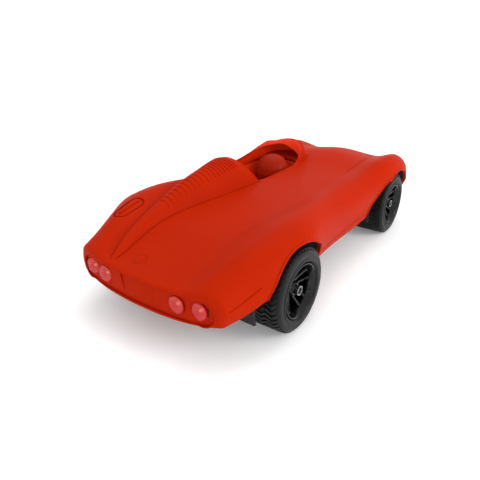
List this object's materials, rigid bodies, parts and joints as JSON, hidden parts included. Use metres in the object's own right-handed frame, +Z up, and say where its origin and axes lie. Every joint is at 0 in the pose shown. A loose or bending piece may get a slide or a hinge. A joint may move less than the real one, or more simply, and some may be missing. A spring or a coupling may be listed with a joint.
{
  "type": "remote-control toy car",
  "caption": "Remote-control toy of a vintage open racing car: moulded red body with headrest fairing, wrap-round windscreen, driver, steered front wheels and a driven rear axle.",
  "frame": {"origin": "on the ground, midway between the axles and on the centre line, which is the bottom centre of the bounding box", "axes": "+Z up, nose along -Y, the driver's side along +X"},
  "size_m": [0.147, 0.316, 0.08],
  "materials": {
    "body_red": "satin pigment-filled moulding",
    "black_plastic": "moulded, fine satin",
    "rim_black": "high gloss",
    "tyre_rubber": "satin rubber",
    "red_lens": "clear red moulding",
    "clear_lens": "clear moulding",
    "bright_trim": "plated",
    "steel": "ground",
    "brass": "sintered bush",
    "motor_can": "drawn can",
    "nylon": "moulded gear plastic",
    "circuit_board": "lacquered board",
    "battery_wrap": "shrink wrap",
    "helmet_red": "gloss",
    "driver_face": "moulded in red",
    "driver_suit": "moulded in dark red",
    "cockpit_red": "moulded in dark red"
  },
  "bodies": {
    "chassis": {"body_shell": "body_red", "rear_panel": "body_red", "headrest_fairing": "body_red", "windscreen": "body_red", "fuel_cap": "body_red", "rear_badge": "bright_trim", "front_grille": "black_plastic", "chassis_tray": "black_plastic", "front_bridge": "black_plastic", "steering_servo": "black_plastic", "gearbox_housing": "black_plastic", "steering_wheel": "black_plastic", "headlamp_lens_left": "clear_lens", "headlamp_lens_right": "clear_lens", "tail_lens_1": "red_lens", "tail_lens_2": "red_lens", "tail_lens_3": "red_lens", "tail_lens_4": "red_lens", "rear_light_board": "circuit_board", "control_board": "circuit_board", "drive_motor": "motor_can", "rear_bush_left": "brass", "rear_bush_right": "brass", "battery_pack": "battery_wrap", "body_screw_1": "steel", "body_screw_2": "steel", "body_screw_3": "steel", "body_screw_4": "steel", "driver_helmet": "helmet_red", "cockpit_tub": "cockpit_red", "driver_head": "driver_face", "driver_torso": "driver_suit"},
    "rear_axle": {"rear_axle_shaft": "steel", "axle_gear": "nylon", "rear_rim_left": "rim_black", "rear_rim_right": "rim_black", "rear_tyre_left": "tyre_rubber", "rear_tyre_right": "tyre_rubber", "rear_nut_left": "steel", "rear_nut_right": "steel"},
    "pinion": {"motor_pinion": "brass"},
    "left_knuckle": {"knuckle_left": "black_plastic"},
    "right_knuckle": {"knuckle_right": "black_plastic"},
    "left_front_wheel": {"front_rim_left": "rim_black", "front_tyre_left": "tyre_rubber", "front_nut_left": "steel"},
    "right_front_wheel": {"front_rim_right": "rim_black", "front_tyre_right": "tyre_rubber", "front_nut_right": "steel"},
    "tie_rod": {"tie_rod": "black_plastic"},
    "servo_horn": {"servo_horn": "nylon"},
    "power_switch": {"power_switch": "black_plastic"},
    "battery_door": {"battery_door": "black_plastic"}
  },
  "joints": [
    {"name": "drive_axle_spin", "type": "hinge", "parent": "chassis", "child": "rear_axle", "pos_m": [0, 0.092, 0.0275], "axis": [1, 0, 0], "continuous": true},
    {"name": "motor_spin", "type": "hinge", "parent": "chassis", "child": "pinion", "pos_m": [0.006, 0.0784, 0.0275], "axis": [1, 0, 0], "continuous": true},
    {"name": "steer_left", "type": "hinge", "parent": "chassis", "child": "left_knuckle", "pos_m": [0.0283, -0.092, 0.0275], "axis": [0, 0, 1], "range_deg": [-15, 15]},
    {"name": "steer_right", "type": "hinge", "parent": "chassis", "child": "right_knuckle", "pos_m": [-0.0283, -0.092, 0.0275], "axis": [0, 0, 1], "range_deg": [-15, 15]},
    {"name": "front_spin_left", "type": "hinge", "parent": "left_knuckle", "child": "left_front_wheel", "pos_m": [0.0501, -0.092, 0.0275], "axis": [1, 0, 0], "continuous": true},
    {"name": "front_spin_right", "type": "hinge", "parent": "right_knuckle", "child": "right_front_wheel", "pos_m": [-0.0501, -0.092, 0.0275], "axis": [1, 0, 0], "continuous": true},
    {"name": "tie_rod_slide", "type": "slide", "parent": "chassis", "child": "tie_rod", "axis": [1, 0, 0], "range_m": [-0.0033, 0.0033]},
    {"name": "servo_turn", "type": "hinge", "parent": "chassis", "child": "servo_horn", "pos_m": [0, -0.066, 0.026], "axis": [0, 0, 1], "range_deg": [-13.5, 13.5]},
    {"name": "switch_slide", "type": "slide", "parent": "chassis", "child": "power_switch", "axis": [0, 1, 0], "range_m": [0, 0.003]},
    {"name": "battery_door_slide", "type": "slide", "parent": "chassis", "child": "battery_door", "axis": [0, 1, 0], "range_m": [0, 0.012]}
  ],
  "couplings": [
    {"joint": "motor_spin", "follows": "drive_axle_spin", "ratio": -2.4},
    {"joint": "steer_right", "follows": "steer_left", "ratio": 1},
    {"joint": "tie_rod_slide", "follows": "steer_left", "m_per_rad": -0.012},
    {"joint": "servo_turn", "follows": "steer_left", "ratio": -0.85714}
  ]
}
